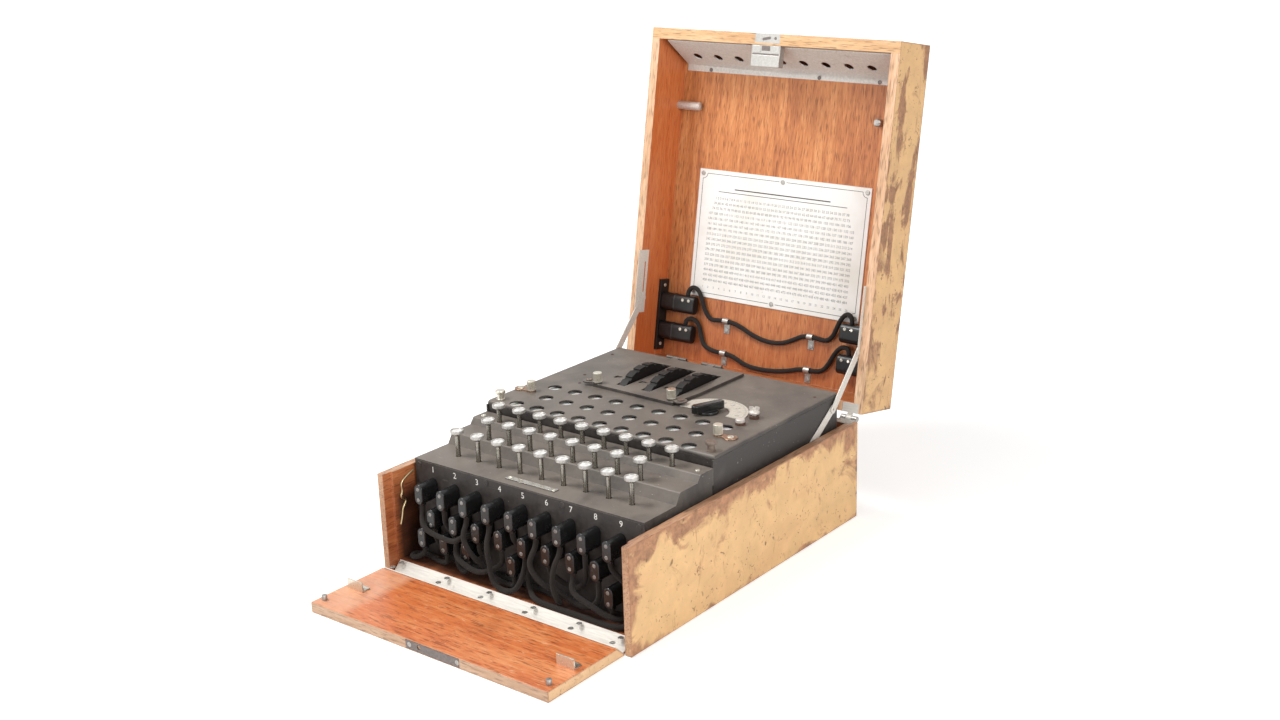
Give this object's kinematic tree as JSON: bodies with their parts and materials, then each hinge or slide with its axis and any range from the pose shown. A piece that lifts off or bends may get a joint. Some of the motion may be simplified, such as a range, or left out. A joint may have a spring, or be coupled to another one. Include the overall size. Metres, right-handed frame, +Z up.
{
  "type": "rotor cipher machine",
  "caption": "Portable rotor cipher machine in an oak case: stepped keyboard, lamp windows, rotors under a slotted flap, plugboard with patch cords, hinged lid and front flap.",
  "frame": {"origin": "centre of the underside of the wooden case", "axes": "+X to the right as the operator sees it, +Y to the rear, +Z up"},
  "size_m": [0.279, 0.5527, 0.4331],
  "materials": {
    "wood": "worn varnish",
    "steel": "dull",
    "black_metal": "worn crackle paint",
    "nickel": "dull nickel",
    "bakelite": "satin",
    "cord": "braided",
    "board": "matt",
    "pale_sheet": "satin",
    "brass": "worn"
  },
  "bodies": {
    "case": {"case_floor": "wood", "case_side_left": "wood", "case_side_right": "wood", "case_rear_wall": "wood", "case_hardware": "steel", "key_deck": "black_metal", "plugboard_panel": "black_metal", "patch_plugs": "bakelite", "patch_cords": "cord", "lamp_board": "board", "contact_stack": "bakelite", "battery": "board", "machine_frame": "black_metal"},
    "lid": {"lid_boards": "wood", "lid_fittings": "steel", "instruction_plate": "pale_sheet", "spare_leads": "bakelite"},
    "flap": {"flap_board": "wood", "flap_fittings": "steel"},
    "main_cover": {"main_cover": "black_metal", "cover_fittings": "nickel"},
    "rotor_flap": {"rotor_flap": "black_metal"},
    "key_01": {"key_01": "nickel"},
    "key_02": {"key_02": "nickel"},
    "key_03": {"key_03": "nickel"},
    "key_04": {"key_04": "nickel"},
    "key_05": {"key_05": "nickel"},
    "key_06": {"key_06": "nickel"},
    "key_07": {"key_07": "nickel"},
    "key_08": {"key_08": "nickel"},
    "key_09": {"key_09": "nickel"},
    "key_10": {"key_10": "nickel"},
    "key_11": {"key_11": "nickel"},
    "key_12": {"key_12": "nickel"},
    "key_13": {"key_13": "nickel"},
    "key_14": {"key_14": "nickel"},
    "key_15": {"key_15": "nickel"},
    "key_16": {"key_16": "nickel"},
    "key_17": {"key_17": "nickel"},
    "key_18": {"key_18": "nickel"},
    "key_19": {"key_19": "nickel"},
    "key_20": {"key_20": "nickel"},
    "key_21": {"key_21": "nickel"},
    "key_22": {"key_22": "nickel"},
    "key_23": {"key_23": "nickel"},
    "key_24": {"key_24": "nickel"},
    "key_25": {"key_25": "nickel"},
    "key_26": {"key_26": "nickel"},
    "rotor_left": {"rotor_left": "brass"},
    "rotor_middle": {"rotor_middle": "brass"},
    "rotor_right": {"rotor_right": "brass"},
    "selector_knob": {"selector_knob": "bakelite"},
    "cover_latch_left": {"cover_latch_left": "nickel"},
    "cover_latch_right": {"cover_latch_right": "nickel"},
    "rotor_latch_left": {"rotor_latch_left": "nickel"},
    "rotor_latch_right": {"rotor_latch_right": "nickel"},
    "stay_left_lower": {"stay_left_lower": "steel"},
    "stay_left_upper": {"stay_left_upper": "steel"},
    "stay_right_lower": {"stay_right_lower": "steel"},
    "stay_right_upper": {"stay_right_upper": "steel"}
  },
  "joints": [
    {"name": "lid_hinge", "type": "hinge", "parent": "case", "child": "lid", "pos_m": [0, 0.1752, 0.09375], "axis": [1, 0, 0], "range_deg": [0, 100.5]},
    {"name": "flap_hinge", "type": "hinge", "parent": "case", "child": "flap", "pos_m": [0, -0.1689, 0.0011], "axis": [-1, 0, 0], "range_deg": [0, 90]},
    {"name": "cover_hinge", "type": "hinge", "parent": "case", "child": "main_cover", "pos_m": [0, 0.156, 0.121], "axis": [1, 0, 0], "range_deg": [-55, 0]},
    {"name": "rotor_flap_hinge", "type": "hinge", "parent": "main_cover", "child": "rotor_flap", "pos_m": [-0.03, 0.148, 0.1278], "axis": [1, 0, 0], "range_deg": [-70, 0]},
    {"name": "key_01_press", "type": "slide", "parent": "case", "child": "key_01", "axis": [0, 0, -1], "range_m": [0, 0.004], "stiffness_N_per_m": 250, "springref_m": -0.003},
    {"name": "key_02_press", "type": "slide", "parent": "case", "child": "key_02", "axis": [0, 0, -1], "range_m": [0, 0.004], "stiffness_N_per_m": 250, "springref_m": -0.003},
    {"name": "key_03_press", "type": "slide", "parent": "case", "child": "key_03", "axis": [0, 0, -1], "range_m": [0, 0.004], "stiffness_N_per_m": 250, "springref_m": -0.003},
    {"name": "key_04_press", "type": "slide", "parent": "case", "child": "key_04", "axis": [0, 0, -1], "range_m": [0, 0.004], "stiffness_N_per_m": 250, "springref_m": -0.003},
    {"name": "key_05_press", "type": "slide", "parent": "case", "child": "key_05", "axis": [0, 0, -1], "range_m": [0, 0.004], "stiffness_N_per_m": 250, "springref_m": -0.003},
    {"name": "key_06_press", "type": "slide", "parent": "case", "child": "key_06", "axis": [0, 0, -1], "range_m": [0, 0.004], "stiffness_N_per_m": 250, "springref_m": -0.003},
    {"name": "key_07_press", "type": "slide", "parent": "case", "child": "key_07", "axis": [0, 0, -1], "range_m": [0, 0.004], "stiffness_N_per_m": 250, "springref_m": -0.003},
    {"name": "key_08_press", "type": "slide", "parent": "case", "child": "key_08", "axis": [0, 0, -1], "range_m": [0, 0.004], "stiffness_N_per_m": 250, "springref_m": -0.003},
    {"name": "key_09_press", "type": "slide", "parent": "case", "child": "key_09", "axis": [0, 0, -1], "range_m": [0, 0.004], "stiffness_N_per_m": 250, "springref_m": -0.003},
    {"name": "key_10_press", "type": "slide", "parent": "case", "child": "key_10", "axis": [0, 0, -1], "range_m": [0, 0.004], "stiffness_N_per_m": 250, "springref_m": -0.003},
    {"name": "key_11_press", "type": "slide", "parent": "case", "child": "key_11", "axis": [0, 0, -1], "range_m": [0, 0.004], "stiffness_N_per_m": 250, "springref_m": -0.003},
    {"name": "key_12_press", "type": "slide", "parent": "case", "child": "key_12", "axis": [0, 0, -1], "range_m": [0, 0.004], "stiffness_N_per_m": 250, "springref_m": -0.003},
    {"name": "key_13_press", "type": "slide", "parent": "case", "child": "key_13", "axis": [0, 0, -1], "range_m": [0, 0.004], "stiffness_N_per_m": 250, "springref_m": -0.003},
    {"name": "key_14_press", "type": "slide", "parent": "case", "child": "key_14", "axis": [0, 0, -1], "range_m": [0, 0.004], "stiffness_N_per_m": 250, "springref_m": -0.003},
    {"name": "key_15_press", "type": "slide", "parent": "case", "child": "key_15", "axis": [0, 0, -1], "range_m": [0, 0.004], "stiffness_N_per_m": 250, "springref_m": -0.003},
    {"name": "key_16_press", "type": "slide", "parent": "case", "child": "key_16", "axis": [0, 0, -1], "range_m": [0, 0.004], "stiffness_N_per_m": 250, "springref_m": -0.003},
    {"name": "key_17_press", "type": "slide", "parent": "case", "child": "key_17", "axis": [0, 0, -1], "range_m": [0, 0.004], "stiffness_N_per_m": 250, "springref_m": -0.003},
    {"name": "key_18_press", "type": "slide", "parent": "case", "child": "key_18", "axis": [0, 0, -1], "range_m": [0, 0.004], "stiffness_N_per_m": 250, "springref_m": -0.003},
    {"name": "key_19_press", "type": "slide", "parent": "case", "child": "key_19", "axis": [0, 0, -1], "range_m": [0, 0.004], "stiffness_N_per_m": 250, "springref_m": -0.003},
    {"name": "key_20_press", "type": "slide", "parent": "case", "child": "key_20", "axis": [0, 0, -1], "range_m": [0, 0.004], "stiffness_N_per_m": 250, "springref_m": -0.003},
    {"name": "key_21_press", "type": "slide", "parent": "case", "child": "key_21", "axis": [0, 0, -1], "range_m": [0, 0.004], "stiffness_N_per_m": 250, "springref_m": -0.003},
    {"name": "key_22_press", "type": "slide", "parent": "case", "child": "key_22", "axis": [0, 0, -1], "range_m": [0, 0.004], "stiffness_N_per_m": 250, "springref_m": -0.003},
    {"name": "key_23_press", "type": "slide", "parent": "case", "child": "key_23", "axis": [0, 0, -1], "range_m": [0, 0.004], "stiffness_N_per_m": 250, "springref_m": -0.003},
    {"name": "key_24_press", "type": "slide", "parent": "case", "child": "key_24", "axis": [0, 0, -1], "range_m": [0, 0.004], "stiffness_N_per_m": 250, "springref_m": -0.003},
    {"name": "key_25_press", "type": "slide", "parent": "case", "child": "key_25", "axis": [0, 0, -1], "range_m": [0, 0.004], "stiffness_N_per_m": 250, "springref_m": -0.003},
    {"name": "key_26_press", "type": "slide", "parent": "case", "child": "key_26", "axis": [0, 0, -1], "range_m": [0, 0.004], "stiffness_N_per_m": 250, "springref_m": -0.003},
    {"name": "rotor_left_spin", "type": "hinge", "parent": "case", "child": "rotor_left", "pos_m": [-0.0558, 0.089, 0.0845], "axis": [1, 0, 0], "continuous": true},
    {"name": "rotor_middle_spin", "type": "hinge", "parent": "case", "child": "rotor_middle", "pos_m": [-0.0264, 0.089, 0.0845], "axis": [1, 0, 0], "continuous": true},
    {"name": "rotor_right_spin", "type": "hinge", "parent": "case", "child": "rotor_right", "pos_m": [0.003, 0.089, 0.0845], "axis": [1, 0, 0], "continuous": true},
    {"name": "selector_turn", "type": "hinge", "parent": "main_cover", "child": "selector_knob", "pos_m": [0.062, 0.043, 0.1258], "axis": [0, 0, 1], "range_deg": [-60, 60]},
    {"name": "cover_latch_left_turn", "type": "hinge", "parent": "main_cover", "child": "cover_latch_left", "pos_m": [-0.11, 0.001, 0.1255], "axis": [0, 0, 1], "range_deg": [0, 90]},
    {"name": "cover_latch_right_turn", "type": "hinge", "parent": "main_cover", "child": "cover_latch_right", "pos_m": [0.103, 0.001, 0.1255], "axis": [0, 0, 1], "range_deg": [0, 90]},
    {"name": "rotor_latch_left_turn", "type": "hinge", "parent": "rotor_flap", "child": "rotor_latch_left", "pos_m": [-0.0675, 0.0465, 0.1285], "axis": [0, 0, 1], "range_deg": [0, 90]},
    {"name": "rotor_latch_right_turn", "type": "hinge", "parent": "rotor_flap", "child": "rotor_latch_right", "pos_m": [0.0187, 0.0465, 0.1285], "axis": [0, 0, 1], "range_deg": [0, 90]},
    {"name": "stay_left_lower_turn", "type": "hinge", "parent": "case", "child": "stay_left_lower", "pos_m": [-0.1292, 0.0884, 0.076], "axis": [1, 0, 0], "range_deg": [-70, 1]},
    {"name": "stay_left_upper_turn", "type": "hinge", "parent": "lid", "child": "stay_left_upper", "pos_m": [-0.1292, 0.19628, 0.16632], "axis": [1, 0, 0], "range_deg": [-24, 1]},
    {"name": "stay_right_lower_turn", "type": "hinge", "parent": "case", "child": "stay_right_lower", "pos_m": [0.1292, 0.0884, 0.076], "axis": [1, 0, 0], "range_deg": [-70, 1]},
    {"name": "stay_right_upper_turn", "type": "hinge", "parent": "lid", "child": "stay_right_upper", "pos_m": [0.1292, 0.19628, 0.16632], "axis": [1, 0, 0], "range_deg": [-24, 1]}
  ],
  "couplings": [
    {"joint": "stay_left_lower_turn", "follows": "lid_hinge", "ratio": -0.6854},
    {"joint": "stay_left_upper_turn", "follows": "lid_hinge", "ratio": -0.2258},
    {"joint": "stay_right_lower_turn", "follows": "lid_hinge", "ratio": -0.6854},
    {"joint": "stay_right_upper_turn", "follows": "lid_hinge", "ratio": -0.2258}
  ]
}
